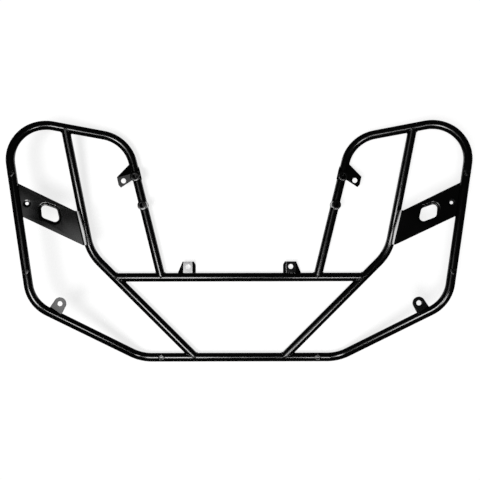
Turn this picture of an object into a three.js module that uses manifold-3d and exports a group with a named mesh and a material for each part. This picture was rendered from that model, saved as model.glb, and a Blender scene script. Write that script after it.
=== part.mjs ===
// Front grille guard for a light utility vehicle: a welded frame of one-inch round tube with two
// headlamp hoops, a crossbar, two diagonal braces, two bent side plates, mounting tabs and bosses.
// Millimetres. +X is the guard's right as seen from the vehicle, +Y points away from the vehicle,
// +Z is up. The vehicle, and every mounting face, is on the -Y side. Each sub-part is one mesh.
import * as THREE from 'three';
import { mergeVertices } from 'three/addons/utils/BufferGeometryUtils.js';
import Module from 'manifold-3d';

const wasm = await Module();
wasm.setup();

// ---- driving dimensions -------------------------------------------------------------------

const TUBE_OD = 25.4;
const TUBE_WALL = 2.1;
const BEND_RADIUS = 100;          // centreline radius of every hoop and rail bend
const BRACE_BEND_RADIUS = 125;    // centreline radius of the diagonal's compound bend
const WELD_GAP = 0.3;             // clearance left between pieces that are welded together
const TUBE_SIDES = 16;
const BORE_SIDES = 12;

// Corners of the bent centrelines, right-hand side, before the bends are rounded.
const UPRIGHT_FOOT = [227.7, 0, -108.3];
const HOOP_INNER_CORNER = [325.1, -10, 292.2];
const HOOP_OUTER_CORNER = [654.1, -95, 344];
const LOWER_OUTER_CORNER = [572.3, -115, -172.6];
const BOTTOM_CORNER = [286.7, 0, -341.6];
const BRACE_CORNER = [435.1, 0, -35.9];
const BRACE_FOOT = [129.3, 0, -341.6];
const CROSSBAR_Z = UPRIGHT_FOOT[2];
const SPLICE_SHARE = 0.7;         // where the hoop meets the bottom rail, down the outer side
const BRACE_HEAD_SHARE = 0.5125;  // where the brace meets the top of the hoop, along its rail

// Bent side plate between the hoop's outer side and the brace. Pairs are x and z on its face.
const PLATE_THICKNESS = 3;
const PLATE_OUTER = [[621.8, 162.8], [608.8, 70]];
const PLATE_FOLD = [[457, 82.6], [433.7, -13.8]];
const PLATE_FOLD_DEPTH = -80;
const PLATE_SLOT = [[551.9, 103.2], [508.3, 87.6], [498.5, 45], [547.8, 64.2]];
const SLOT_CORNER_RADIUS = 11;
const SLOT_RIM = { width: 4.5, height: 1.5 };
const PLATE_HOLE = { at: [587.8, 102.5], diameter: 9.2, pad: 27, padHeight: 0.8 };

// Crossbar bracket: a web with a bolt hole, a splayed gusset and a short return.
const BRACKET_THICKNESS = 3;
const BRACKET = { inner: 135, outer: 164, webY: -3, top: -62.5, hole: [149.5, -77.4] };
const BRACKET_RETURN_TOP = -72;
const BRACKET_GUSSET_FOOT = [185, 10];
const BRACKET_RETURN_FOOT = [129.5, 12];
const BOLT_HOLE = 14.3;

// Teardrop tab on the side rail.
const LOWER_TAB = { share: 0.195, reach: 34.5, head: 17.5, base: 37, shoulder: 14.7, thickness: 4 };
const LOWER_TAB_HEAD_ARC = [0.06 * Math.PI, 0.94 * Math.PI];

// Upper bracket: a face standing off the upright, folded back to it above and inside.
// Pairs are x and z on the bracket's face; the feet are x, y and z on the upright.
const UPPER_THICKNESS = 3;
const UPPER_FACE_DEPTH = -31.3;
const UPPER_TIP = [[339.6, 151.1], [346.3, 158.5], [351, 180]];
const UPPER_INNER = [[280, 174], [286, 200]];
const UPPER_KNEE = { low: [306, 173], high: [310, 191.3] };
const UPPER_HOLE = [332, 170.4];
const UPPER_RING_SEAT = [298.7, 183.5];
const UPPER_FEET = {
  high: [310, -8.4, 229],
  inner: [[288, -7, 180], [293, -8, 213]],
};

// Bosses, with the distance from the tube's centreline to the boss's open face.
const SMALL_BOSS = { diameter: 15.9, bore: 8.5, depth: 16, length: 20, reach: 16.5 };
const RING_BOSS = { diameter: 27, bore: 16, height: 4.2 };
const LARGE_BOSS = { diameter: 27, bore: 13, reach: 32, saddle: 5 };
const BOSS_CHAMFER = 0.8;
const UPPER_BOSS_SHARE = 0.31;    // along the hoop's outer side, from its top corner
const LOWER_BOSS_SHARE = 0.8335;
const BOTTOM_BOSS_X = 226.8;
const LARGE_BOSS_SHARE = 0.521;   // up the upright from its foot
const RING_BOSS_SHARE = 0.7285;

// ---- materials ----------------------------------------------------------------------------

const coat = (color, roughness) => new THREE.MeshStandardMaterial({ color, roughness, metalness: 0 });
const tubeCoat = coat(0x0d0e10, 0.34);
const sheetCoat = coat(0x101113, 0.38);
const bossCoat = coat(0x121316, 0.4);

// ---- vectors, centrelines and solids ------------------------------------------------------

const vec = ([x, y, z], side = 1) => new THREE.Vector3(side * x, y, z);
const between = (a, b, share) => a.clone().lerp(b, share);

/** The point of the line a-b at height z. */
function atHeight(a, b, z) {
  return between(a, b, (z - a.z) / (b.z - a.z));
}

/** Centreline of a bent tube: straight runs between corners, each inner corner rounded by an arc. */
class BentCentreline extends THREE.Curve {
  constructor(corners, radius, arcSteps = 6) {
    super();
    this.stations = [{ point: corners[0], tangent: corners[1].clone().sub(corners[0]).normalize() }];
    for (let i = 1; i < corners.length - 1; i += 1) {
      this.addBend(corners[i - 1], corners[i], corners[i + 1], radius, arcSteps);
    }
    const last = corners.at(-1);
    this.stations.push({ point: last, tangent: last.clone().sub(corners.at(-2)).normalize() });
  }

  addBend(before, corner, after, radius, arcSteps) {
    const back = before.clone().sub(corner).normalize();
    const ahead = after.clone().sub(corner).normalize();
    const halfAngle = back.angleTo(ahead) / 2;
    const inward = back.clone().add(ahead).normalize();
    const centre = corner.clone().addScaledVector(inward, radius / Math.sin(halfAngle));
    const axis = ahead.clone().cross(back).normalize();
    const sweep = Math.PI - 2 * halfAngle;
    const start = corner.clone().addScaledVector(back, radius / Math.tan(halfAngle)).sub(centre);
    const heading = back.clone().negate();
    for (let i = 0; i <= arcSteps; i += 1) {
      const turn = (sweep * i) / arcSteps;
      const point = start.clone().applyAxisAngle(axis, turn).add(centre);
      this.stations.push({ point, tangent: heading.clone().applyAxisAngle(axis, turn) });
    }
  }

  get steps() {
    return this.stations.length - 1;
  }

  getPoint(t) {
    return this.stations[Math.round(t * this.steps)].point.clone();
  }

  getPointAt(u) {
    return this.getPoint(u);
  }

  getTangentAt(u) {
    return this.stations[Math.round(u * this.steps)].tangent.clone();
  }
}

function circle(radius, sides) {
  const corner = (i) => new THREE.Vector2(
    radius * Math.cos((2 * Math.PI * (i + 0.5)) / sides),
    radius * Math.sin((2 * Math.PI * (i + 0.5)) / sides),
  );
  return Array.from({ length: sides }, (_, i) => corner(i));
}

/** A manifold solid from a closed three.js geometry. */
function solid(geometry) {
  const bare = geometry.clone();
  bare.deleteAttribute('normal');
  bare.deleteAttribute('uv');
  const merged = mergeVertices(bare, 1e-4);
  const mesh = {
    numProp: 3,
    vertProperties: merged.attributes.position.array,
    triVerts: Uint32Array.from(merged.index.array),
  };
  return new wasm.Manifold(new wasm.Mesh(mesh));
}

function geometryOf(body) {
  const { vertProperties, triVerts } = body.getMesh();
  const geometry = new THREE.BufferGeometry();
  geometry.setAttribute('position', new THREE.BufferAttribute(vertProperties, 3));
  geometry.setIndex(new THREE.BufferAttribute(triVerts, 1));
  geometry.computeVertexNormals();
  return geometry;
}

/** A section swept along a centreline; with a bore it is an open-ended tube. */
function sweep(centreline, radius, bore = 0) {
  const section = new THREE.Shape(circle(radius, TUBE_SIDES));
  if (bore > 0) {
    section.holes.push(new THREE.Path(circle(bore, BORE_SIDES)));
  }
  return solid(new THREE.ExtrudeGeometry(section, { steps: centreline.steps, extrudePath: centreline }));
}

const tube = (centreline) => sweep(centreline, TUBE_OD / 2, TUBE_OD / 2 - TUBE_WALL);
const rod = (a, b, radius) => sweep(new BentCentreline([a, b], 0), radius);

/** Corner radius of a many-sided section whose flats clear a round bar by the weld gap. */
const clearanceRadius = (diameter) => (diameter / 2 + WELD_GAP) / Math.cos(Math.PI / TUBE_SIDES);
const tubeClearance = (centreline) => sweep(centreline, clearanceRadius(TUBE_OD));

/** Unit directions from each corner of a closed flat outline to its neighbours. */
function cornerFrames(points) {
  return points.map((corner, i) => {
    const back = points.at(i - 1).clone().sub(corner).normalize();
    const ahead = points[(i + 1) % points.length].clone().sub(corner).normalize();
    return { corner, back, ahead, half: Math.acos(back.dot(ahead)) / 2 };
  });
}

/** A closed path through flat points, its corners rounded to one radius or to a radius each. */
function roundedPath(path, points, radius) {
  cornerFrames(points).forEach(({ corner, back, ahead, half }, i) => {
    const reach = (Array.isArray(radius) ? radius[i] : radius) / Math.tan(half);
    const start = back.clone().multiplyScalar(reach).add(corner);
    const end = ahead.clone().multiplyScalar(reach).add(corner);
    if (i === 0) {
      path.moveTo(start.x, start.y);
    } else {
      path.lineTo(start.x, start.y);
    }
    if (reach > 0) {
      path.quadraticCurveTo(corner.x, corner.y, end.x, end.y);
    }
  });
  path.closePath();
  return path;
}

/** The corners of a convex outline, moved outwards so that every edge shifts by a distance. */
function outset(points, distance) {
  return cornerFrames(points).map(({ corner, back, ahead, half }) => {
    const outward = back.clone().add(ahead).normalize().negate();
    return outward.multiplyScalar(distance / Math.sin(half)).add(corner);
  });
}

/** The plane of a piece of sheet: origin, an in-plane axis along its first edge, and its normal. */
class SheetPlane {
  constructor(origin, along, inPlane) {
    this.origin = origin;
    this.x = along.clone().sub(origin).normalize();
    this.z = this.x.clone().cross(inPlane.clone().sub(origin)).normalize();
    this.y = this.z.clone().cross(this.x);
  }

  flat(point) {
    const offset = point.clone().sub(this.origin);
    return new THREE.Vector2(offset.dot(this.x), offset.dot(this.y));
  }

  /** The point of this plane that has a given x and z. */
  pointAt(x, z) {
    const point = new THREE.Vector3(x, 0, z);
    return point.setY(this.origin.clone().sub(point).dot(this.z) / this.z.y);
  }

  /** A sheet centred on this plane, with an outline and holes given as flat paths. */
  sheet(outline, thickness, holes = []) {
    outline.holes.push(...holes);
    const options = { depth: thickness, bevelEnabled: false, curveSegments: 5 };
    const geometry = new THREE.ExtrudeGeometry(outline, options).translate(0, 0, -thickness / 2);
    const basis = new THREE.Matrix4().makeBasis(this.x, this.y, this.z).setPosition(this.origin);
    return solid(geometry.applyMatrix4(basis));
  }

  /** A sheet whose outline goes through points in space, its corners rounded. */
  panel(points, thickness, radius = 0, holes = []) {
    const outline = roundedPath(new THREE.Shape(), points.map((point) => this.flat(point)), radius);
    return this.sheet(outline, thickness, holes);
  }

  circle(point, diameter, sides = 14) {
    const centre = this.flat(point);
    return circle(diameter / 2, sides).map((corner) => corner.add(centre));
  }

  hole(point, diameter, sides) {
    return new THREE.Path(this.circle(point, diameter, sides));
  }
}

/** A flat sheet through points in space, lying in the plane of the first three. */
function facet(points, thickness, radius = 0) {
  return new SheetPlane(points[0], points[1], points[2]).panel(points, thickness, radius);
}

/** A bored round boss about the Y axis, its open face at -reach and its bore cut from that face. */
function bossGeometry({ diameter, bore, depth, length, reach }, sides = 14) {
  const radius = diameter / 2;
  const outline = [
    [0, -reach + depth],
    [bore / 2, -reach + depth],
    [bore / 2, -reach + BOSS_CHAMFER],
    [bore / 2 + BOSS_CHAMFER, -reach],
    [radius - BOSS_CHAMFER, -reach],
    [radius, -reach + BOSS_CHAMFER],
    [radius, -reach + length],
    [0, -reach + length],
  ];
  return new THREE.LatheGeometry(outline.map(([r, y]) => new THREE.Vector2(r, y)), sides);
}

/** An open ring about the Y axis, from its face at -reach to its back at -foot. */
function ringGeometry({ diameter, bore }, reach, foot, sides = 16) {
  const outline = [
    [bore / 2, -foot],
    [bore / 2, -reach + BOSS_CHAMFER],
    [bore / 2 + BOSS_CHAMFER, -reach],
    [diameter / 2 - BOSS_CHAMFER, -reach],
    [diameter / 2, -reach + BOSS_CHAMFER],
    [diameter / 2, -foot],
    [bore / 2, -foot],
  ];
  return new THREE.LatheGeometry(outline.map(([r, y]) => new THREE.Vector2(r, y)), sides);
}

/** A Y-axis rod that clears a small boss standing on a tube at this point. */
function bossClearance(point, { diameter, reach }) {
  const face = point.clone().add(new THREE.Vector3(0, -reach - 5, 0));
  const back = point.clone().add(new THREE.Vector3(0, 4, 0));
  return rod(face, back, clearanceRadius(diameter));
}

// ---- the centrelines that both sides share ------------------------------------------------

function sideLayout(side) {
  const corner = {
    foot: vec(UPRIGHT_FOOT, side),
    inner: vec(HOOP_INNER_CORNER, side),
    outer: vec(HOOP_OUTER_CORNER, side),
    lower: vec(LOWER_OUTER_CORNER, side),
    bottom: vec(BOTTOM_CORNER, side),
    brace: vec(BRACE_CORNER, side),
    braceFoot: vec(BRACE_FOOT, side),
  };
  const splice = between(corner.outer, corner.lower, SPLICE_SHARE);
  const braceHead = between(corner.inner, corner.outer, BRACE_HEAD_SHARE);
  return {
    corner,
    splice,
    hoop: new BentCentreline([corner.foot, corner.inner, corner.outer, splice], BEND_RADIUS),
    brace: new BentCentreline([braceHead, corner.brace, corner.braceFoot], BRACE_BEND_RADIUS, 4),
    upperBoss: between(corner.outer, corner.lower, UPPER_BOSS_SHARE),
    lowerBoss: between(corner.outer, corner.lower, LOWER_BOSS_SHARE),
    bottomBoss: new THREE.Vector3(side * BOTTOM_BOSS_X, corner.bottom.y, corner.bottom.z),
    ringBoss: between(corner.foot, corner.inner, RING_BOSS_SHARE),
    largeBoss: between(corner.foot, corner.inner, LARGE_BOSS_SHARE),
  };
}

const right = sideLayout(1);
const left = sideLayout(-1);
const crossbarEnds = [left, right].map(({ corner }) => atHeight(corner.brace, corner.braceFoot, CROSSBAR_Z));
const crossbarLine = new BentCentreline(crossbarEnds, 0);
const bottomCorners = [
  left.splice,
  left.corner.lower,
  left.corner.bottom,
  right.corner.bottom,
  right.corner.lower,
  right.splice,
];
const bottomLine = new BentCentreline(bottomCorners, BEND_RADIUS, 5);

// ---- tubes --------------------------------------------------------------------------------

/** The hoop: upright, top rail and outer side in one bent tube, coped on to the crossbar. */
function hoopTube(layout) {
  const trimmed = tube(layout.hoop).subtract(tubeClearance(crossbarLine));
  return trimmed.subtract(bossClearance(layout.upperBoss, SMALL_BOSS));
}

/** The bottom rail: a wide U from one hoop's lower end to the other's. */
function bottomRail() {
  const full = tube(bottomLine);
  const bosses = [left, right].flatMap((layout) => [layout.lowerBoss, layout.bottomBoss]);
  const drilled = bosses.reduce((body, point) => body.subtract(bossClearance(point, SMALL_BOSS)), full);
  const faces = [left, right].map((layout) => spliceSlit(layout));
  return faces.reduce((body, slit) => body.subtract(slit), drilled);
}

/** A thin disc that leaves the weld gap between a hoop's end and the bottom rail. */
function spliceSlit(layout) {
  const down = layout.corner.lower.clone().sub(layout.corner.outer).normalize();
  const start = layout.splice.clone().addScaledVector(down, -5);
  return rod(start, layout.splice.clone().addScaledVector(down, WELD_GAP), TUBE_OD);
}

/** A diagonal brace, coped on to the top of the hoop and on to the bottom rail. */
function braceTube(layout) {
  return tube(layout.brace).subtract(tubeClearance(layout.hoop)).subtract(tubeClearance(bottomLine));
}

function crossbarTube() {
  const trimmed = tube(crossbarLine).subtract(tubeClearance(left.brace));
  return trimmed.subtract(tubeClearance(right.brace));
}

// ---- side plate ---------------------------------------------------------------------------

/** Sheet between the outer side and the brace, folded back at its inner edge to reach the brace. */
function sidePlate(layout, side) {
  const onSide = ([x, z]) => atHeight(layout.corner.outer, layout.corner.lower, z).setX(side * x);
  const [outerTop, outerBottom] = PLATE_OUTER.map(onSide);
  const foldTop = new THREE.Vector3(side * PLATE_FOLD[0][0], PLATE_FOLD_DEPTH, PLATE_FOLD[0][1]);
  const plane = new SheetPlane(outerTop, foldTop, outerBottom);
  const foldBottom = plane.pointAt(side * PLATE_FOLD[1][0], PLATE_FOLD[1][1]);
  const holePoint = plane.pointAt(side * PLATE_HOLE.at[0], PLATE_HOLE.at[1]);
  const slotCorners = PLATE_SLOT.map(([x, z]) => plane.flat(plane.pointAt(side * x, z)));
  const slot = () => roundedPath(new THREE.Path(), slotCorners, SLOT_CORNER_RADIUS);
  const drilled = () => plane.hole(holePoint, PLATE_HOLE.diameter, 10);

  const faceCorners = [outerTop, foldTop, foldBottom, outerBottom];
  const face = plane.panel(faceCorners, PLATE_THICKNESS, 0, [slot(), drilled()]);
  const { width: rimWidth, height: rimHeight } = SLOT_RIM;
  const rimRadius = SLOT_CORNER_RADIUS + rimWidth;
  const rimOutline = roundedPath(new THREE.Shape(), outset(slotCorners, rimWidth), rimRadius);
  const rim = plane.sheet(rimOutline, PLATE_THICKNESS + 2 * rimHeight, [slot()]);
  const padOutline = new THREE.Shape(plane.circle(holePoint, PLATE_HOLE.pad));
  const pad = plane.sheet(padOutline, PLATE_THICKNESS + 2 * PLATE_HOLE.padHeight, [drilled()]);

  const onBrace = ({ z }) => atHeight(layout.corner.brace, layout.brace.getPoint(0), z);
  const returnCorners = [foldTop, foldBottom, onBrace(foldBottom), onBrace(foldTop)];
  const foldedReturn = facet(returnCorners, PLATE_THICKNESS);
  const fold = rod(foldTop, foldBottom, PLATE_THICKNESS / 2);

  const sheet = face.add(rim).add(pad).add(foldedReturn).add(fold);
  return sheet.subtract(tubeClearance(layout.hoop)).subtract(tubeClearance(layout.brace));
}

// ---- brackets and tabs --------------------------------------------------------------------

/** Bracket on top of the crossbar: web with its bolt hole, splayed gusset outside, return inside. */
function crossbarBracket(side) {
  const foot = CROSSBAR_Z;
  const { inner, outer, webY, top, hole } = BRACKET;
  const at = (x, y, z) => new THREE.Vector3(side * x, y, z);
  const innerEdge = [at(inner, webY, foot), at(inner, webY, top)];
  const outerEdge = [at(outer, webY, foot), at(outer, webY, top)];
  const webCorners = [innerEdge[0], outerEdge[0], outerEdge[1], innerEdge[1]];
  const webPlane = new SheetPlane(innerEdge[0], outerEdge[0], innerEdge[1]);
  const drilled = webPlane.hole(at(hole[0], webY, hole[1]), BOLT_HOLE);
  const web = webPlane.panel(webCorners, BRACKET_THICKNESS, 0, [drilled]);

  const gusset = facet([outerEdge[0], at(...BRACKET_GUSSET_FOOT, foot), outerEdge[1]], BRACKET_THICKNESS);
  const returnFoot = at(...BRACKET_RETURN_FOOT, foot);
  const returnTop = at(...BRACKET_RETURN_FOOT, BRACKET_RETURN_TOP);
  const shortReturn = facet([innerEdge[0], returnFoot, returnTop, innerEdge[1]], BRACKET_THICKNESS);

  const folds = [innerEdge, outerEdge].map(([low, high]) => rod(low, high, BRACKET_THICKNESS / 2));
  const sheet = [gusset, shortReturn, ...folds].reduce((body, piece) => body.add(piece), web);
  return sheet.subtract(tubeClearance(crossbarLine));
}

/** Teardrop tab that stands on the side rail, square to it. */
function lowerTab(layout) {
  const { lower, bottom } = layout.corner;
  const { share, reach, head, base, shoulder, thickness } = LOWER_TAB;
  const root = between(lower, bottom, share);
  const along = lower.clone().sub(bottom).setY(0).normalize();
  const up = new THREE.Vector3(0, 0, 1).addScaledVector(along, -along.z).normalize();
  const plane = new SheetPlane(root, root.clone().add(along), root.clone().add(up));
  const centre = root.clone().addScaledVector(up, reach);
  const outline = new THREE.Shape();
  outline.moveTo(-base / 2, 0);
  outline.lineTo(base / 2, 0);
  outline.lineTo(base / 2, shoulder);
  outline.absarc(0, reach, head, ...LOWER_TAB_HEAD_ARC, false);
  outline.lineTo(-base / 2, shoulder);
  outline.closePath();
  const tab = plane.sheet(outline, thickness, [plane.hole(centre, BOLT_HOLE)]);
  return tab.subtract(tubeClearance(bottomLine));
}

/** Upper bracket: a face with its bolt hole, and two sides folded back to the upright. */
function upperBracket(layout, side) {
  const onFace = ([x, z]) => new THREE.Vector3(side * x, UPPER_FACE_DEPTH, z);
  const [tipLow, tipMiddle, tipHigh] = UPPER_TIP.map(onFace);
  const [innerLow, innerHigh] = UPPER_INNER.map(onFace);
  const kneeLow = onFace(UPPER_KNEE.low);
  const kneeHigh = onFace(UPPER_KNEE.high);
  const faceCorners = [innerLow, kneeLow, tipLow, tipMiddle, tipHigh, kneeHigh, innerHigh];
  const plane = new SheetPlane(innerLow, tipMiddle, tipHigh);
  const holes = [UPPER_HOLE, UPPER_RING_SEAT].map((at) => plane.hole(onFace(at), BOLT_HOLE));
  const face = plane.panel(faceCorners, UPPER_THICKNESS, 0, holes);

  const highSide = facet([kneeHigh, tipHigh, vec(UPPER_FEET.high, side)], UPPER_THICKNESS);
  const [footLow, footHigh] = UPPER_FEET.inner.map((point) => vec(point, side));
  const innerSide = facet([innerLow, innerHigh, footHigh, footLow], UPPER_THICKNESS);
  const edges = [[kneeHigh, tipHigh], [innerLow, innerHigh]];
  const folds = edges.map(([a, b]) => rod(a, b, UPPER_THICKNESS / 2));
  const sheet = [highSide, innerSide, ...folds].reduce((body, piece) => body.add(piece), face);
  return sheet.subtract(tubeClearance(layout.hoop));
}

/** Large standoff, saddled on the face of the upright. */
function largeStandoff(layout) {
  const ring = solid(ringGeometry(LARGE_BOSS, LARGE_BOSS.reach, LARGE_BOSS.saddle));
  return ring.translate(layout.largeBoss.toArray()).subtract(tubeClearance(layout.hoop));
}

/** Ring boss on the face of the upper bracket. */
function ringBoss(layout) {
  const foot = UPPER_THICKNESS / 2 + WELD_GAP;
  const centre = layout.ringBoss.clone().setY(UPPER_FACE_DEPTH);
  return ringGeometry(RING_BOSS, foot + RING_BOSS.height, foot).translate(...centre.toArray());
}

// ---- assembly -----------------------------------------------------------------------------

const guard = new THREE.Group();

function add(name, geometry, material, position = new THREE.Vector3()) {
  const mesh = new THREE.Mesh(geometry, material);
  mesh.name = name;
  mesh.position.copy(position);
  guard.add(mesh);
}

add('bottom_rail_tube', geometryOf(bottomRail()), tubeCoat);
add('crossbar_tube', geometryOf(crossbarTube()), tubeCoat);

for (const [word, layout, side] of [['left', left, -1], ['right', right, 1]]) {
  add(`${word}_hoop_tube`, geometryOf(hoopTube(layout)), tubeCoat);
  add(`${word}_diagonal_brace`, geometryOf(braceTube(layout)), tubeCoat);
  add(`${word}_side_plate`, geometryOf(sidePlate(layout, side)), sheetCoat);
  add(`${word}_crossbar_bracket`, geometryOf(crossbarBracket(side)), sheetCoat);
  add(`${word}_lower_tab`, geometryOf(lowerTab(layout)), sheetCoat);
  add(`${word}_upper_bracket`, geometryOf(upperBracket(layout, side)), sheetCoat);
  add(`${word}_large_standoff`, geometryOf(largeStandoff(layout)), bossCoat);
  add(`${word}_ring_boss`, ringBoss(layout), bossCoat);
  add(`${word}_outer_upper_boss`, bossGeometry(SMALL_BOSS), bossCoat, layout.upperBoss);
  add(`${word}_outer_lower_boss`, bossGeometry(SMALL_BOSS), bossCoat, layout.lowerBoss);
  add(`${word}_bottom_boss`, bossGeometry(SMALL_BOSS), bossCoat, layout.bottomBoss);
}

// The origin is the centre of the guard's overall box.
const overall = new THREE.Box3().setFromObject(guard);
guard.position.copy(overall.getCenter(new THREE.Vector3()).negate());

export default guard;
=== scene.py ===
"""Front grille guard: fine tubes, bosses, folded sheet, weld beads and powder coat around the CAD frame.

Sizes are millimetres in the guard's design frame: X to the right, Y away from the vehicle, Z up,
with the crossbar's axis on Y = 0. place() turns them into the CAD frame's metres.
"""

import math

import bmesh
import bpy
from mathutils import Matrix, Vector


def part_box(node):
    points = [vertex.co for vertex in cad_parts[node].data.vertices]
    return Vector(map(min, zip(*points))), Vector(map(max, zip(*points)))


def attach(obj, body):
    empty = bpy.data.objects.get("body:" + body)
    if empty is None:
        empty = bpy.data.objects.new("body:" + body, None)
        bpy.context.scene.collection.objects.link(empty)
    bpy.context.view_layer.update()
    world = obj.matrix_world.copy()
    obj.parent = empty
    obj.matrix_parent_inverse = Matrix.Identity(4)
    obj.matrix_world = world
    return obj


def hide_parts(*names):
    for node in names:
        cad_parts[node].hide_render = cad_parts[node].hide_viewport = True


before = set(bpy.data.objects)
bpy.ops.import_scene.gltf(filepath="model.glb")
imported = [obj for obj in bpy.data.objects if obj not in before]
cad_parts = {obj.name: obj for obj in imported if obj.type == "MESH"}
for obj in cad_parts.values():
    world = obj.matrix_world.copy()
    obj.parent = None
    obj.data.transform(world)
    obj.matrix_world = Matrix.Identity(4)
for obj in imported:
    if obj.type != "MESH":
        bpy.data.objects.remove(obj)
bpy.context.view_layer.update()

# ---- sizes shared with the CAD source -----------------------------------------------------

MM = 0.001
TUBE_RADIUS = 12.7
BEND_RADIUS = 100
BRACE_BEND_RADIUS = 125
UPRIGHT_FOOT = (227.7, 0, -108.3)
HOOP_INNER_CORNER = (325.1, -10, 292.2)
HOOP_OUTER_CORNER = (654.1, -95, 344)
LOWER_OUTER_CORNER = (572.3, -115, -172.6)
BOTTOM_CORNER = (286.7, 0, -341.6)
BRACE_CORNER = (435.1, 0, -35.9)
BRACE_FOOT = (129.3, 0, -341.6)
CROSSBAR_Z = UPRIGHT_FOOT[2]
SPLICE_SHARE = 0.7
BRACE_HEAD_SHARE = 0.5125

SHEET = 3
PLATE_OUTER = ((621.8, 162.8), (608.8, 70))
PLATE_FOLD = ((457, 82.6), (433.7, -13.8))
PLATE_FOLD_DEPTH = -80
PLATE_SLOT = ((551.9, 103.2), (508.3, 87.6), (498.5, 45), (547.8, 64.2))
SLOT_CORNER_RADIUS = 11
PLATE_HOLE = (587.8, 102.5)
PLATE_HOLE_RADIUS = 4.6
BOLT_HOLE_RADIUS = 7.15

# Crossbar bracket: x of the web's edges and of the feet, y and z of what stands on the crossbar.
BRACKET_INNER_X = 135
BRACKET_OUTER_X = 164
BRACKET_WEB_Y = -3
BRACKET_TOP_Z = -62.5
BRACKET_GUSSET_FOOT = (185, 10)
BRACKET_RETURN_FOOT = (129.5, 12)
BRACKET_RETURN_TOP = -72
BRACKET_HOLE = (149.5, -77.4)

LOWER_TAB = {"share": 0.195, "reach": 34.5, "head": 17.5, "base": 37, "shoulder": 14.7, "thickness": 4}
LOWER_TAB_HEAD_ARC = (0.06 * math.pi, 0.94 * math.pi)

# Upper bracket: pairs are x and z on its face; the feet are x, y and z on the upright.
UPPER_FACE_DEPTH = -31.3
UPPER_TIP = ((339.6, 151.1), (346.3, 158.5), (351, 180))
UPPER_INNER = ((280, 174), (286, 200))
UPPER_KNEE = ((306, 173), (310, 191.3))
UPPER_HOLE = (332, 170.4)
UPPER_RING_SEAT = (298.7, 183.5)
UPPER_HIGH_FOOT = (310, -8.4, 229)
UPPER_INNER_FEET = ((288, -7, 180), (293, -8, 213))

# Bosses: the reach is from the tube's centreline to the boss's open face.
SMALL_BOSS = {"radius": 7.95, "bore": 4.25, "depth": 16, "length": 20, "reach": 16.5}
RING_BOSS = {"radius": 13.5, "bore": 8, "height": 4.2}
LARGE_BOSS = {"radius": 13.5, "bore": 6.5, "reach": 32}
UPPER_BOSS_SHARE = 0.31      # along the hoop's outer side, from its top corner
LOWER_BOSS_SHARE = 0.8335
BOTTOM_BOSS_X = 226.8
RING_BOSS_SHARE = 0.7285     # along the upright, from its foot
LARGE_BOSS_SHARE = 0.521

# ---- detail that only this scene adds -----------------------------------------------------

TUBE_SIDES = 48
HOLE_SIDES = 40
LOWER_TAB_HEAD_STEPS = 24
BEAD_SIDES = 10
CORNER_STEPS = 8
FOLD_STEPS = 6
BEND_STEP = math.radians(4)
SHARP_ANGLE = math.radians(38)
SINK = 0.7               # how far a coped end goes into its mate
COPE_CLEARANCE = 3 * TUBE_RADIUS     # how far back a coped end's points start before they slide to the mate
FOLD_RADIUS = 3
TIGHT_FOLD_RADIUS = 2
SHEET_EDGE = 0.45        # rounding of a sheet's cut edges
THICK_SHEET_EDGE = 0.6
EDGE_ANGLE = math.radians(40)
EDGE_SEGMENTS = 3
MERGE_DISTANCE = 0.02
GUSSET_CORNER_RADIUS = 2
RETURN_CORNER_RADIUS = 8
BRACKET_SEAM_SHIFT = 0.5     # of the crossbar bracket's weld towards the vehicle
BRACKET_SEAM_OVERRUN = 1     # past each edge of its web

JOINT_BEAD = 2.3         # radius of the weld bead round a tube joint
BOSS_BEAD = 1.5
SHEET_BEAD = 1.2
RIPPLE_PITCH = 2.6
RIPPLE_STEPS = 5
SEAM_STEP = 4
SEAM_CLEARANCE = 40      # how far off the tube a seam's points start before they slide to it

WELD_GAP = 0.3           # gap in the CAD between a boss and what it is welded to
RING_SINK = 0.4          # how far the ring goes into the bracket's face
BOSS_EDGE = 0.7          # chamfer of a boss's rim
RING_EDGE = 0.8
CHAMFER_EASE = 0.3       # how far round the rim's bevel its middle point lies
BORE_MOUTH = 1.4         # the bore's chamfer, in rim chamfers
STANDOFF_FOOT = 0.35     # where a standoff and its bore end in the tube, in tube radii from the centreline
STANDOFF_BORE_END = 0.9
PLAIN_BORE = 3           # length of a bore that has no grooves
GROOVE_START = 2         # the grooves that stand for a boss's thread
GROOVE_PITCH = 1.25
GROOVE_RISE = 0.62
GROOVE_DEPTH = 0.45
BLIND_TIP = 0.6          # radius and extra depth of a blind bore's end
BLIND_TIP_DEPTH = 1.5

# Pressings: the width round an opening, and pairs of share of that width and depth in millimetres.
SLOT_DISH_WIDTH = 9
SLOT_DISH = ((1, 0), (0.88, 0.25), (0.74, 0.9), (0.58, 1.8), (0.42, 2.5), (0.28, 2.8), (0, 2.8))
HOLE_DISH_WIDTH = 7
HOLE_DISH = ((1, 0), (0.85, 0.1), (0.7, 0.3), (0.5, 0.6), (0.3, 0.7), (0, 0.7))

AWAY = Vector((0, 1, 0))
FACING_AXES = (Vector((1, 0, 0)), Vector((0, 0, 1)))
ACROSS = FACING_AXES[0]

crossbar_low, crossbar_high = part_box("crossbar_tube")
ORIGIN = (crossbar_low + crossbar_high) / 2 - Vector((0, 0, CROSSBAR_Z * MM))


def place(point):
    """A design point in millimetres as a point of the CAD frame in metres."""
    return Vector(point) * MM + ORIGIN


def on_side(point, side):
    return Vector((side * point[0], point[1], point[2]))


def at_height(a, b, z):
    """The point of the line a-b at height z."""
    return a.lerp(b, (z - a.z) / (b.z - a.z))


# ---- mesh helpers -------------------------------------------------------------------------


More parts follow.
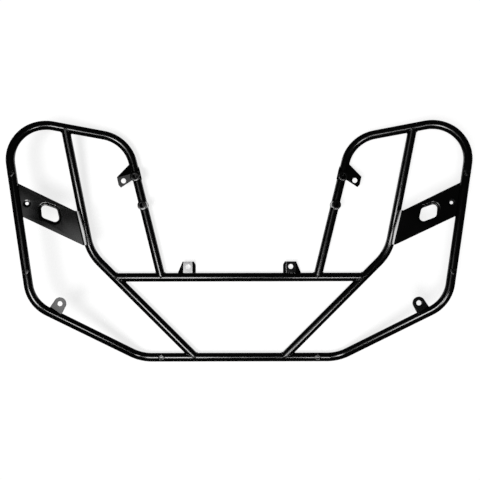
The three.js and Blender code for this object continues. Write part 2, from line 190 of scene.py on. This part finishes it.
def new_piece(name, mesh_builder, node, material):
    """Turns a bmesh in millimetres into a piece that rides on the frame and replaces a CAD node."""
    mesh = bpy.data.meshes.new(name)
    bmesh.ops.recalc_face_normals(mesh_builder, faces=mesh_builder.faces)
    for vertex in mesh_builder.verts:
        vertex.co = place(vertex.co)
    for face in mesh_builder.faces:
        face.smooth = True
    mesh_builder.to_mesh(mesh)
    mesh_builder.free()
    mesh.set_sharp_from_angle(angle=SHARP_ANGLE)
    piece = bpy.data.objects.new(name, mesh)
    bpy.context.scene.collection.objects.link(piece)
    mesh.materials.append(material)
    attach(piece, "root")
    if node:
        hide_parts(node)
    return piece


def skin(builder, rings, closed=False):
    """Joins rings of points with quads; an open stack of rings is capped at both ends."""
    loops = [[builder.verts.new(point) for point in ring] for ring in rings]
    count = len(loops[0])
    pairs = list(zip(loops, loops[1:]))
    if closed:
        pairs.append((loops[-1], loops[0]))
    for lower, upper in pairs:
        for i in range(count):
            j = (i + 1) % count
            builder.faces.new((lower[i], lower[j], upper[j], upper[i]))
    if not closed:
        builder.faces.new(loops[0])
        builder.faces.new(loops[-1])


def corner_arc(corner, back, ahead, radius):
    """The arc that rounds a corner between two unit directions: centre, first spoke, axis and sweep."""
    half = back.angle(ahead) / 2
    centre = corner + (back + ahead).normalized() * (radius / math.sin(half))
    spoke = corner + back * (radius / math.tan(half)) - centre
    return centre, spoke, ahead.cross(back).normalized(), math.pi - 2 * half


def bent_path(corners, radius):
    """Points and tangents of a path whose inner corners are rounded by arcs."""
    stations = [(corners[0], (corners[1] - corners[0]).normalized())]
    for before, corner, after in zip(corners, corners[1:], corners[2:]):
        back = (before - corner).normalized()
        ahead = (after - corner).normalized()
        centre, spoke, axis, sweep = corner_arc(corner, back, ahead, radius)
        steps = max(2, round(sweep / BEND_STEP))
        for i in range(steps + 1):
            turn = Matrix.Rotation(sweep * i / steps, 3, axis)
            stations.append((centre + turn @ spoke, turn @ -back))
    stations.append((corners[-1], (corners[-1] - corners[-2]).normalized()))
    return stations


def carried_frames(stations):
    """A pair of cross axes for each station, turned as little as possible along the path."""
    tangent = stations[0][1]
    across = tangent.orthogonal().normalized()
    frames = []
    for _, ahead in stations:
        across = tangent.rotation_difference(ahead) @ across
        tangent = ahead
        frames.append((across, ahead.cross(across)))
    return frames


def circle_ring(centre, axes, radius, sides):
    ring = []
    for i in range(sides):
        angle = 2 * math.pi * i / sides
        ring.append(centre + (axes[0] * math.cos(angle) + axes[1] * math.sin(angle)) * radius)
    return ring


def reach_mate(points, direction, mate, radius):
    """Slides points along a direction to a round mate; those that pass it stop beside its axis."""
    origin, axis = mate
    across = direction - axis * direction.dot(axis)
    landed = []
    for point in points:
        offset = point - origin
        offset = offset - axis * offset.dot(axis)
        half = offset.dot(across) / across.length_squared
        spare = half * half - (offset.length_squared - radius * radius) / across.length_squared
        landed.append(point + direction * (-half - math.sqrt(max(spare, 0))))
    return landed


# ---- tubes and weld beads -----------------------------------------------------------------


def tube_piece(name, corners, radius, mates=(None, None)):
    """A bent tube whose ends are coped on to their mates, with the joints' outlines for the welds."""
    stations = bent_path(corners, radius)
    frames = carried_frames(stations)
    centres = [centre for centre, _ in stations]
    rings = [circle_ring(centre, axes, TUBE_RADIUS, TUBE_SIDES) for centre, axes in zip(centres, frames)]
    joints = []
    for end, mate in zip((0, -1), mates):
        if mate:
            outward = stations[end][1] * (1 if end else -1)
            base = [point - outward * COPE_CLEARANCE for point in rings[end]]
            joints.append(reach_mate(base, outward, mate, TUBE_RADIUS))
            rings[end] = reach_mate(base, outward, mate, TUBE_RADIUS - SINK)
    builder = bmesh.new()
    skin(builder, rings)
    new_piece(f"{name}_surface", builder, name, tube_coat)
    return joints


def even_steps(path, closed):
    """Points at even distances along a path, a few for each ripple of a weld."""
    looped = path + [path[0]] if closed else path
    lengths = [0.0]
    for before, after in zip(looped, looped[1:]):
        lengths.append(lengths[-1] + (after - before).length)
    total = lengths[-1]
    steps = max(3, round(total / RIPPLE_PITCH)) * RIPPLE_STEPS
    points = []
    span = 0
    for i in range(steps if closed else steps + 1):
        distance = total * i / steps
        while span < len(lengths) - 2 and lengths[span + 1] < distance:
            span += 1
        share = (distance - lengths[span]) / max(lengths[span + 1] - lengths[span], 1e-9)
        points.append(looped[span].lerp(looped[span + 1], min(1, share)))
    return points


def ripple(i):
    """The share of a bead's radius at its step i: one swell for each ripple, and a slow wander."""
    swell = 0.9 + 0.12 * math.sin(math.pi * (i % RIPPLE_STEPS) / RIPPLE_STEPS) ** 0.7
    return swell * (1 + 0.06 * math.sin(i * 0.37) + 0.04 * math.sin(i * 0.113 + 1))


def bead(name, path, radius, closed=True):
    """A rippled weld bead along a path of points."""
    points = even_steps(path, closed)
    last = len(points) - 1
    rings = []
    for i, point in enumerate(points):
        if closed:
            tangent = (points[(i + 1) % len(points)] - points[i - 1]).normalized()
        else:
            tangent = (points[min(i + 1, last)] - points[max(i - 1, 0)]).normalized()
        across = tangent.orthogonal() if i == 0 else across - tangent * across.dot(tangent)
        across.normalize()
        rings.append(circle_ring(point, (across, tangent.cross(across)), radius * ripple(i), BEAD_SIDES))
    builder = bmesh.new()
    skin(builder, rings, closed)
    new_piece(name, builder, None, weld_coat)


def turned_piece(name, centre, profile, closed=False):
    """A boss turned about a line along Y from pairs of radius and y."""
    rings = [circle_ring(centre + Vector((0, y, 0)), FACING_AXES, r, TUBE_SIDES) for r, y in profile]
    builder = bmesh.new()
    skin(builder, rings, closed)
    new_piece(f"{name}_surface", builder, name, boss_coat)


def boss_piece(name, centre, boss, mate):
    """A turned boss with a chamfered blind bore, facing -Y; returns the outline of its weld."""
    radius, bore, reach = boss["radius"], boss["bore"], boss["reach"]
    foot = -reach + boss["length"] if "length" in boss else -TUBE_RADIUS * STANDOFF_FOOT
    depth = boss.get("depth", reach - TUBE_RADIUS * STANDOFF_BORE_END)
    eased = BOSS_EDGE * CHAMFER_EASE
    mouth = BOSS_EDGE * BORE_MOUTH
    profile = [(radius, foot), (radius, -reach + BOSS_EDGE), (radius - eased, -reach + eased),
               (radius - BOSS_EDGE, -reach), (bore + mouth, -reach), (bore, -reach + mouth)]
    for i in range(int((depth - PLAIN_BORE) / GROOVE_PITCH)):
        groove = -reach + GROOVE_START + i * GROOVE_PITCH
        profile += [(bore, groove), (bore - GROOVE_DEPTH, groove + GROOVE_RISE)]
    profile += [(bore, -reach + depth), (BLIND_TIP, -reach + depth + BLIND_TIP_DEPTH)]
    turned_piece(name, centre, profile)
    start = circle_ring(centre + Vector((0, -reach, 0)), FACING_AXES, radius, TUBE_SIDES)
    return reach_mate(start, AWAY, mate, TUBE_RADIUS)


# ---- folded sheet -------------------------------------------------------------------------


class SheetPlane:
    """The plane of a piece of sheet: an origin, two in-plane axes and a normal."""

    def __init__(self, origin, along, inside):
        self.origin = origin
        self.x = (along - origin).normalized()
        self.normal = self.x.cross(inside - origin).normalized()
        self.y = self.normal.cross(self.x)

    def point_at(self, x, z):
        """The point of this plane that has a given x and z."""
        point = Vector((x, 0, z))
        point.y = (self.origin - point).dot(self.normal) / self.normal.y
        return point

    def circle(self, centre, radius):
        return circle_ring(centre, (self.x, self.y), radius, HOLE_SIDES)


def rounded(points, radii):
    """A closed outline through coplanar points, each corner rounded by an arc of its own radius."""
    outline = []
    for i, corner in enumerate(points):
        radius = radii[i] if isinstance(radii, (list, tuple)) else radii
        if radius <= 0:
            outline.append(corner)
            continue
        back = (points[i - 1] - corner).normalized()
        ahead = (points[(i + 1) % len(points)] - corner).normalized()
        centre, spoke, axis, sweep = corner_arc(corner, back, ahead, radius)
        for step in range(CORNER_STEPS + 1):
            outline.append(centre + Matrix.Rotation(sweep * step / CORNER_STEPS, 3, axis) @ spoke)
    return outline


def outset(points, distance):
    """The corners of a convex outline, moved outwards so that every edge shifts by a distance."""
    moved = []
    for i, corner in enumerate(points):
        back = (points[i - 1] - corner).normalized()
        ahead = (points[(i + 1) % len(points)] - corner).normalized()
        half = back.angle(ahead) / 2
        moved.append(corner - (back + ahead).normalized() * (distance / math.sin(half)))
    return moved


class FoldedSheet:
    """Flat panels and rounded folds on the sheet's middle surface, thickened at the end."""

    def __init__(self):
        self.builder = bmesh.new()

    def panel(self, outline, holes=()):
        edges = []
        for loop in (outline, *holes):
            verts = [self.builder.verts.new(point) for point in loop]
            for a, b in zip(verts, verts[1:] + verts[:1]):
                edges.append(self.builder.edges.new((a, b)))
        bmesh.ops.triangle_fill(self.builder, use_beauty=True, edges=edges)

    def dish(self, outline_at, width, profile, away):
        """Presses the sheet round an opening; returns the outline where the pressing starts."""
        rows = []
        for share, depth in profile:
            rows.append([point + away * depth for point in outline_at(width * share)])
        loops = [[self.builder.verts.new(point) for point in row] for row in rows]
        for outer, inner in zip(loops, loops[1:]):
            for i in range(len(outer)):
                self.builder.faces.new((outer[i - 1], outer[i], inner[i], inner[i - 1]))
        return rows[0]

    def fold(self, a, b, first_inside, second_inside, radius=FOLD_RADIUS):
        """Rounds the fold a-b between two panels; returns the edge that each panel now has."""
        line = (b - a).normalized()
        first = first_inside - a
        first = (first - line * first.dot(line)).normalized()
        second = second_inside - a
        second = (second - line * second.dot(line)).normalized()
        centre, spoke, axis, sweep = corner_arc(Vector(), first, second, radius)
        rows = []
        for step in range(FOLD_STEPS + 1):
            offset = centre + Matrix.Rotation(sweep * step / FOLD_STEPS, 3, axis) @ spoke
            rows.append((a + offset, b + offset))
        verts = [[self.builder.verts.new(point) for point in row] for row in rows]
        for lower, upper in zip(verts, verts[1:]):
            self.builder.faces.new((lower[0], lower[1], upper[1], upper[0]))
        return rows[0], rows[-1]

    def finish(self, node, thickness=SHEET, edge=SHEET_EDGE):
        """Thickens the sheet, rounds its edges and lets it replace a CAD node."""
        bmesh.ops.remove_doubles(self.builder, verts=self.builder.verts, dist=MERGE_DISTANCE)
        piece = new_piece(f"{node}_surface", self.builder, node, sheet_coat)
        solid = piece.modifiers.new("thickness", "SOLIDIFY")
        solid.thickness = thickness * MM
        solid.offset = 0
        bevel = piece.modifiers.new("edges", "BEVEL")
        bevel.width = edge * MM
        bevel.segments = EDGE_SEGMENTS
        bevel.limit_method = "ANGLE"
        bevel.angle_limit = EDGE_ANGLE
        normals = piece.modifiers.new("normals", "WEIGHTED_NORMAL")
        normals.weight = 100


# ---- materials ----------------------------------------------------------------------------

DUST = (0.06, 0.06, 0.058)
CLOUD_NOISE = (9, 4)     # a noise's scale, per metre, and its detail
GLOSS_NOISE = (22, 5)
DUST_NOISE = (260, 3)
PEEL_NOISE = (900, 1)
CLOUD_RANGE = (0.35, 0.7)    # the stretch of a noise that a look is spread over
GLOSS_RANGE = (0.3, 0.75)
DUST_RANGE = (0.66, 0.74)
DUST_MOST = 0.1
COAT_IOR = 1.5
PEEL_DEPTH = 0.0001


def powder_coat(name, shade, roughness, peel):
    """Black powder coat: clouds of shade and gloss, a fine orange peel and a trace of dust."""
    material = bpy.data.materials.new(name)
    material.use_nodes = True
    nodes = material.node_tree.nodes
    links = material.node_tree.links
    shader = nodes["Principled BSDF"]
    place_node = nodes.new("ShaderNodeTexCoord")

    def noise(scale, detail):
        node = nodes.new("ShaderNodeTexNoise")
        node.inputs["Scale"].default_value = scale
        node.inputs["Detail"].default_value = detail
        links.new(place_node.outputs["Object"], node.inputs["Vector"])
        return node.outputs["Fac"]

    def remap(value, low, high, to_low, to_high):
        node = nodes.new("ShaderNodeMapRange")
        links.new(value, node.inputs["Value"])
        for key, number in (("From Min", low), ("From Max", high), ("To Min", to_low), ("To Max", to_high)):
            node.inputs[key].default_value = number
        return node.outputs["Result"]

    def mix(factor, a, b):
        node = nodes.new("ShaderNodeMix")
        node.data_type = "RGBA"
        links.new(factor, node.inputs["Factor"])
        for socket, value in ((node.inputs["A"], a), (node.inputs["B"], b)):
            if isinstance(value, tuple):
                socket.default_value = (*value, 1)
            else:
                links.new(value, socket)
        return node.outputs["Result"]

    clouds = remap(noise(*CLOUD_NOISE), *CLOUD_RANGE, 0, 1)
    base = mix(clouds, (shade, shade, shade * 1.05), (shade * 1.5,) * 3)
    dust = remap(noise(*DUST_NOISE), *DUST_RANGE, 0, DUST_MOST)
    links.new(mix(dust, base, DUST), shader.inputs["Base Color"])
    gloss = remap(noise(*GLOSS_NOISE), *GLOSS_RANGE, roughness - 0.02, roughness + 0.04)
    links.new(gloss, shader.inputs["Roughness"])
    shader.inputs["IOR"].default_value = COAT_IOR
    bump = nodes.new("ShaderNodeBump")
    bump.inputs["Strength"].default_value = peel
    bump.inputs["Distance"].default_value = PEEL_DEPTH
    links.new(noise(*PEEL_NOISE), bump.inputs["Height"])
    links.new(bump.outputs["Normal"], shader.inputs["Normal"])
    return material


tube_coat = powder_coat("tube_powder_coat", shade=0.0015, roughness=0.15, peel=0.01)
sheet_coat = powder_coat("sheet_powder_coat", shade=0.0016, roughness=0.12, peel=0.01)
boss_coat = powder_coat("boss_powder_coat", shade=0.002, roughness=0.2, peel=0.01)
weld_coat = powder_coat("weld_powder_coat", shade=0.0015, roughness=0.22, peel=0.01)

# ---- layout -------------------------------------------------------------------------------

# A mate is the centreline that a piece meets: a point and a direction.
BOTTOM_MATE = (Vector(BOTTOM_CORNER), ACROSS)
CROSSBAR_MATE = (Vector((0, 0, CROSSBAR_Z)), ACROSS)


class Side:
    """The centrelines and seats of one half of the guard."""

    def __init__(self, word, sign):
        self.word = word
        self.sign = sign
        self.foot = on_side(UPRIGHT_FOOT, sign)
        self.inner = on_side(HOOP_INNER_CORNER, sign)
        self.outer = on_side(HOOP_OUTER_CORNER, sign)
        self.lower = on_side(LOWER_OUTER_CORNER, sign)
        self.bottom = on_side(BOTTOM_CORNER, sign)
        self.brace = on_side(BRACE_CORNER, sign)
        self.brace_foot = on_side(BRACE_FOOT, sign)
        self.splice = self.outer.lerp(self.lower, SPLICE_SHARE)
        self.brace_head = self.inner.lerp(self.outer, BRACE_HEAD_SHARE)
        self.upright_mate = (self.foot, (self.inner - self.foot).normalized())
        self.rail_mate = (self.inner, (self.outer - self.inner).normalized())
        self.outer_mate = (self.outer, (self.lower - self.outer).normalized())
        self.run_mate = (self.lower, (self.bottom - self.lower).normalized())
        self.brace_mate = (self.brace, (self.brace_foot - self.brace).normalized())
        self.upper_boss = self.outer.lerp(self.lower, UPPER_BOSS_SHARE)
        self.lower_boss = self.outer.lerp(self.lower, LOWER_BOSS_SHARE)
        self.bottom_boss = on_side((BOTTOM_BOSS_X, 0, BOTTOM_CORNER[2]), sign)
        self.ring_boss = self.foot.lerp(self.inner, RING_BOSS_SHARE)
        self.large_boss = self.foot.lerp(self.inner, LARGE_BOSS_SHARE)


left = Side("left", -1)
right = Side("right", 1)

# ---- tubes --------------------------------------------------------------------------------


def crossbar():
    sides = (left, right)
    ends = [at_height(side.brace, side.brace_foot, CROSSBAR_Z) for side in sides]
    joints = tube_piece("crossbar_tube", ends, 0, [side.brace_mate for side in sides])
    for side, joint in zip(sides, joints):
        bead(f"{side.word}_crossbar_weld", joint, JOINT_BEAD)


def bottom_rail():
    corners = [left.splice, left.lower, left.bottom, right.bottom, right.lower, right.splice]
    tube_piece("bottom_rail_tube", corners, BEND_RADIUS)


def hoop(side):
    corners = [side.foot, side.inner, side.outer, side.splice]
    joint, = tube_piece(f"{side.word}_hoop_tube", corners, BEND_RADIUS, (CROSSBAR_MATE, None))
    bead(f"{side.word}_upright_weld", joint, JOINT_BEAD)


def brace(side):
    corners = [side.brace_head, side.brace, side.brace_foot]
    name = f"{side.word}_diagonal_brace"
    head, foot = tube_piece(name, corners, BRACE_BEND_RADIUS, (side.rail_mate, BOTTOM_MATE))
    bead(f"{side.word}_brace_head_weld", head, JOINT_BEAD)
    bead(f"{side.word}_brace_foot_weld", foot, JOINT_BEAD)


# ---- bosses -------------------------------------------------------------------------------


def bosses(side):
    seats = (
        ("outer_upper_boss", side.upper_boss, SMALL_BOSS, side.outer_mate, BOSS_BEAD),
        ("outer_lower_boss", side.lower_boss, SMALL_BOSS, side.outer_mate, BOSS_BEAD),
        ("bottom_boss", side.bottom_boss, SMALL_BOSS, BOTTOM_MATE, BOSS_BEAD),
        ("large_standoff", side.large_boss, LARGE_BOSS, side.upright_mate, SHEET_BEAD),
    )
    for words, seat, boss, mate, bead_radius in seats:
        name = f"{side.word}_{words}"
        bead(f"{name}_weld", boss_piece(name, seat, boss, mate), bead_radius)


def ring_boss(side, face_depth):
    """The low ring on the upper bracket's face, with a clear bore."""
    radius, bore = RING_BOSS["radius"], RING_BOSS["bore"]
    reach = RING_BOSS["height"] + WELD_GAP
    eased = RING_EDGE * CHAMFER_EASE
    profile = [(radius, RING_SINK), (radius, RING_EDGE - reach), (radius - eased, eased - reach),
               (radius - RING_EDGE, -reach), (bore + RING_EDGE, -reach), (bore, RING_EDGE - reach),
               (bore, RING_SINK)]
    centre = Vector((side.ring_boss.x, face_depth - SHEET / 2, side.ring_boss.z))
    name = f"{side.word}_ring_boss"
    turned_piece(name, centre, profile, closed=True)
    weld = circle_ring(centre, FACING_AXES, radius, TUBE_SIDES)
    bead(f"{name}_weld", weld, BOSS_BEAD)


# ---- sheet parts --------------------------------------------------------------------------


def side_plate(side):
    """Bent plate with a pressed slot and hole, and a return folded back to the brace."""
    top, bottom = (at_height(side.outer, side.lower, z) for _, z in PLATE_OUTER)
    top.x, bottom.x = (side.sign * x for x, _ in PLATE_OUTER)
    fold_top = Vector((side.sign * PLATE_FOLD[0][0], PLATE_FOLD_DEPTH, PLATE_FOLD[0][1]))
    plane = SheetPlane(top, fold_top, bottom)
    fold_bottom = plane.point_at(side.sign * PLATE_FOLD[1][0], PLATE_FOLD[1][1])
    slot_corners = [plane.point_at(side.sign * x, z) for x, z in PLATE_SLOT]
    hole_centre = plane.point_at(side.sign * PLATE_HOLE[0], PLATE_HOLE[1])

    brace_top = at_height(side.brace, side.brace_head, fold_top.z)
    brace_bottom = at_height(side.brace, side.brace_head, fold_bottom.z)
    sheet = FoldedSheet()
    face_edge, return_edge = sheet.fold(fold_top, fold_bottom, top, brace_top)

    def slot_outline(distance):
        return rounded(outset(slot_corners, distance), SLOT_CORNER_RADIUS + distance)

    def hole_outline(distance):
        return plane.circle(hole_centre, PLATE_HOLE_RADIUS + distance)

    away = plane.normal * math.copysign(1, plane.normal.y)
    slot = sheet.dish(slot_outline, SLOT_DISH_WIDTH, SLOT_DISH, away)
    hole = sheet.dish(hole_outline, HOLE_DISH_WIDTH, HOLE_DISH, away)
    sheet.panel([top, face_edge[0], face_edge[1], bottom], [slot, hole])
    sheet.panel([return_edge[0], return_edge[1], brace_bottom, brace_top])
    sheet.finish(f"{side.word}_side_plate")
    plate_welds(side, (top, bottom), (brace_top, brace_bottom), (fold_top, fold_bottom))


def seam(name, points, direction, mate):
    """A straight weld where a sheet's edge, slid along a direction, meets a tube."""
    a, b = reach_mate(points, direction, mate, TUBE_RADIUS)
    steps = max(2, round((b - a).length / SEAM_STEP))
    path = [a.lerp(b, i / steps) for i in range(steps + 1)]
    bead(name, path, SHEET_BEAD, closed=False)


def plate_welds(side, outer_edge, brace_edge, fold_edge):
    """Seams along the plate's outer edge and where its return meets the brace."""
    inboard = (fold_edge[0] - outer_edge[0]).normalized()
    start = [point + inboard * SEAM_CLEARANCE for point in outer_edge]
    seam(f"{side.word}_plate_outer_weld", start, -inboard, side.outer_mate)
    back = (brace_edge[0] - fold_edge[0]).normalized()
    mate = (side.brace, (side.brace_head - side.brace).normalized())
    seam(f"{side.word}_plate_brace_weld", list(fold_edge), back, mate)


def crossbar_bracket(side):
    """Web with a bolt hole, a splayed gusset outside and a short return inside."""

    def at(x, y, z):
        return Vector((side.sign * x, y, z))

    inner_foot, inner_top = (at(BRACKET_INNER_X, BRACKET_WEB_Y, z) for z in (CROSSBAR_Z, BRACKET_TOP_Z))
    outer_foot, outer_top = (at(BRACKET_OUTER_X, BRACKET_WEB_Y, z) for z in (CROSSBAR_Z, BRACKET_TOP_Z))
    gusset_foot = at(*BRACKET_GUSSET_FOOT, CROSSBAR_Z)
    return_foot = at(*BRACKET_RETURN_FOOT, CROSSBAR_Z)
    return_top = at(*BRACKET_RETURN_FOOT, BRACKET_RETURN_TOP)
    sheet = FoldedSheet()
    web_outer, gusset_edge = sheet.fold(outer_foot, outer_top, inner_foot, gusset_foot)
    web_inner, return_edge = sheet.fold(inner_foot, inner_top, outer_foot, return_foot)
    plane = SheetPlane(inner_foot, outer_foot, inner_top)
    hole = plane.circle(at(BRACKET_HOLE[0], BRACKET_WEB_Y, BRACKET_HOLE[1]), BOLT_HOLE_RADIUS)
    sheet.panel([web_inner[0], web_outer[0], web_outer[1], web_inner[1]], [hole])
    sheet.panel(rounded([gusset_edge[0], gusset_foot, gusset_edge[1]], [0, GUSSET_CORNER_RADIUS, 0]))
    return_outline = [return_edge[0], return_foot, return_top, return_edge[1]]
    sheet.panel(rounded(return_outline, [0, 0, RETURN_CORNER_RADIUS, 0]))
    sheet.finish(f"{side.word}_crossbar_bracket")
    clear = Vector((0, -BRACKET_SEAM_SHIFT, SEAM_CLEARANCE))
    overrun = at(BRACKET_SEAM_OVERRUN, 0, 0)
    line = [outer_foot + overrun + clear, inner_foot - overrun + clear]
    seam(f"{side.word}_bracket_front_weld", line, Vector((0, 0, -1)), CROSSBAR_MATE)


def lower_tab(side):
    """Teardrop tab on the side run."""
    root = side.lower.lerp(side.bottom, LOWER_TAB["share"])
    along = side.lower - side.bottom
    along.y = 0
    along.normalize()
    up = (Vector((0, 0, 1)) - along * along.z).normalized()
    plane = SheetPlane(root, root + along, root + up)
    centre = root + up * LOWER_TAB["reach"]
    half_base = along * LOWER_TAB["base"] / 2
    shoulder = up * LOWER_TAB["shoulder"]
    outline = [root - half_base, root + half_base, root + half_base + shoulder]
    start, end = LOWER_TAB_HEAD_ARC
    for i in range(LOWER_TAB_HEAD_STEPS + 1):
        angle = start + (end - start) * i / LOWER_TAB_HEAD_STEPS
        outline.append(centre + (along * math.cos(angle) + up * math.sin(angle)) * LOWER_TAB["head"])
    outline.append(root - half_base + shoulder)
    sheet = FoldedSheet()
    sheet.panel(outline, [plane.circle(centre, BOLT_HOLE_RADIUS)])
    sheet.finish(f"{side.word}_lower_tab", thickness=LOWER_TAB["thickness"], edge=THICK_SHEET_EDGE)
    clear = up * SEAM_CLEARANCE - AWAY * LOWER_TAB["thickness"] / 2
    ends = [root + half_base + clear, root - half_base + clear]
    seam(f"{side.word}_lower_tab_weld", ends, -up, side.run_mate)


def upper_bracket(side):
    """A face that stands off the upright, folded back to it above and inside."""

    def on_face(point):
        return Vector((side.sign * point[0], UPPER_FACE_DEPTH, point[1]))

    inner_low, inner_high = map(on_face, UPPER_INNER)
    knee_low, knee_high = map(on_face, UPPER_KNEE)
    tip_low, tip_middle, tip_high = map(on_face, UPPER_TIP)
    high_foot = on_side(UPPER_HIGH_FOOT, side.sign)
    inner_feet = [on_side(point, side.sign) for point in UPPER_INNER_FEET]
    plane = SheetPlane(inner_low, tip_middle, tip_high)
    bolt_hole = on_face(UPPER_HOLE)
    holes = [plane.circle(centre, BOLT_HOLE_RADIUS) for centre in (bolt_hole, on_face(UPPER_RING_SEAT))]
    sheet = FoldedSheet()
    face_high, side_high = sheet.fold(knee_high, tip_high, bolt_hole, high_foot, TIGHT_FOLD_RADIUS)
    face_inner, side_inner = sheet.fold(inner_low, inner_high, bolt_hole, inner_feet[0], TIGHT_FOLD_RADIUS)
    low_edge = [face_inner[0], knee_low, tip_low, tip_middle]
    sheet.panel(low_edge + [face_high[1], face_high[0], face_inner[1]], holes)
    sheet.panel([side_high[0], side_high[1], high_foot])
    sheet.panel([side_inner[0], side_inner[1], inner_feet[1], inner_feet[0]])
    sheet.finish(f"{side.word}_upper_bracket")
    ring_boss(side, UPPER_FACE_DEPTH)


crossbar()
bottom_rail()
for half in (left, right):
    hoop(half)
    brace(half)
    bosses(half)
    side_plate(half)
    crossbar_bracket(half)
    lower_tab(half)
    upper_bracket(half)

# ---- camera -------------------------------------------------------------------------------

FOCAL_LENGTH = 50.475
SENSOR_WIDTH = 36
CAMERA_POINT = (2, -1965, 0)
CAMERA_ROLL = math.radians(0.12)

camera_data = bpy.data.cameras.new("camera")
camera_data.lens = FOCAL_LENGTH
camera_data.sensor_width = SENSOR_WIDTH
camera = bpy.data.objects.new("camera", camera_data)
bpy.context.scene.collection.objects.link(camera)
camera.location = place(CAMERA_POINT)
camera.rotation_euler = (math.pi / 2, CAMERA_ROLL, 0)
bpy.context.scene.camera = camera

# ---- studio -------------------------------------------------------------------------------

SHADOW_BLUR = math.radians(24)
PAPER_HALF = 2600
PAPER_GAP = 1            # between the tubes and the white sheet
PAPER_WHITE = (0.8, 0.8, 0.8)
PAPER_GLOW = 0.8
SURROUNDINGS_LIGHT = 0.02
CENTRE = (0, 0, 0)


def area_light(name, point, size, power, target):
    """A softbox that shows only in gloss, so that the white sheet stays evenly lit.

    Its size is a width and a height. Without a target it faces straight at the guard's plane.
    """
    light = bpy.data.lights.new(name, "AREA")
    light.shape = "RECTANGLE"
    light.size, light.size_y = (length * MM for length in size)
    light.energy = power
    aim = Vector(target) - Vector(point) if target else AWAY
    lamp = bpy.data.objects.new(name, light)
    bpy.context.scene.collection.objects.link(lamp)
    lamp.location = place(point)
    lamp.rotation_euler = aim.to_track_quat("-Z", "Y").to_euler()
    lamp.visible_diffuse = False


def shadow_light(right, up, strength):
    """A soft distant light, tilted off the view line, that shades the sheet and leaves no highlight."""
    light = bpy.data.lights.new("shadow_light", "SUN")
    light.energy = strength
    light.angle = SHADOW_BLUR
    lamp = bpy.data.objects.new("shadow_light", light)
    bpy.context.scene.collection.objects.link(lamp)
    lamp.rotation_euler = Vector((-right, 1, -up)).to_track_quat("-Z", "Y").to_euler()
    lamp.visible_glossy = False


def studio_sheet():
    """The white sheet that the guard lies on, face down.

    It glows a little, the coat doesn't reflect it, and its back lets light and sight through.
    """
    builder = bmesh.new()
    depth = TUBE_RADIUS + PAPER_GAP
    corners = [(x * PAPER_HALF, depth, z * PAPER_HALF) for x, z in ((-1, -1), (1, -1), (1, 1), (-1, 1))]
    builder.faces.new([builder.verts.new(place(corner)) for corner in corners])
    mesh = bpy.data.meshes.new("studio_sheet")
    builder.to_mesh(mesh)
    builder.free()
    sheet = bpy.data.objects.new("studio_sheet", mesh)
    bpy.context.scene.collection.objects.link(sheet)
    sheet.visible_shadow = False
    sheet.visible_glossy = False
    material = bpy.data.materials.new("studio_white")
    material.use_nodes = True
    nodes = material.node_tree.nodes
    links = material.node_tree.links
    shader = nodes["Principled BSDF"]
    shader.inputs["Base Color"].default_value = (*PAPER_WHITE, 1)
    shader.inputs["Roughness"].default_value = 1
    shader.inputs["Specular IOR Level"].default_value = 0
    shader.inputs["Emission Color"].default_value = (1, 1, 1, 1)
    shader.inputs["Emission Strength"].default_value = PAPER_GLOW
    clear = nodes.new("ShaderNodeBsdfTransparent")
    geometry = nodes.new("ShaderNodeNewGeometry")
    mixed = nodes.new("ShaderNodeMixShader")
    links.new(geometry.outputs["Backfacing"], mixed.inputs["Fac"])
    links.new(shader.outputs["BSDF"], mixed.inputs[1])
    links.new(clear.outputs["BSDF"], mixed.inputs[2])
    links.new(mixed.outputs["Shader"], nodes["Material Output"].inputs["Surface"])
    mesh.materials.append(material)


def pale_surroundings():
    """White to look at, but dim as a light and in the coat's reflections."""
    world = bpy.data.worlds.new("surroundings")
    bpy.context.scene.world = world
    world.use_nodes = True
    nodes = world.node_tree.nodes
    links = world.node_tree.links
    dim = nodes["Background"]
    dim.inputs["Color"].default_value = (1, 1, 1, 1)
    dim.inputs["Strength"].default_value = SURROUNDINGS_LIGHT
    bright = nodes.new("ShaderNodeBackground")
    bright.inputs["Color"].default_value = (1, 1, 1, 1)
    bright.inputs["Strength"].default_value = 1.0
    rays = nodes.new("ShaderNodeLightPath")
    mixed = nodes.new("ShaderNodeMixShader")
    links.new(rays.outputs["Is Camera Ray"], mixed.inputs["Fac"])
    links.new(dim.outputs["Background"], mixed.inputs[1])
    links.new(bright.outputs["Background"], mixed.inputs[2])
    links.new(mixed.outputs["Shader"], nodes["World Output"].inputs["Surface"])


studio_sheet()
pale_surroundings()
LIGHTS = (
    ("key", (-420, -1965, -460), (560, 660), 23, None),
    ("plate_fill", (-290, -1965, 150), (300, 300), 0.55, None),
    ("bracket_fill", (-690, -1965, 340), (300, 240), 0.3, None),
    ("centre", (0, -1965, -380), (300, 260), 2.6, None),
    ("right", (530, -1965, -640), (420, 460), 11.5, None),
    ("left", (-970, -1965, -170), (260, 620), 2.2, None),
    ("back", (0, 2600, 300), (2400, 1600), 24, CENTRE),
    ("back_left", (-2400, 1800, 900), (700, 1600), 12, CENTRE),
    ("back_right", (2400, 1800, 900), (700, 1600), 12, CENTRE),
)
for name, point, size, power, target in LIGHTS:
    area_light(name, point, size, power, target)
shadow_light(-0.3, -0.25, 0.9)
bpy.context.scene.view_settings.view_transform = "Standard"
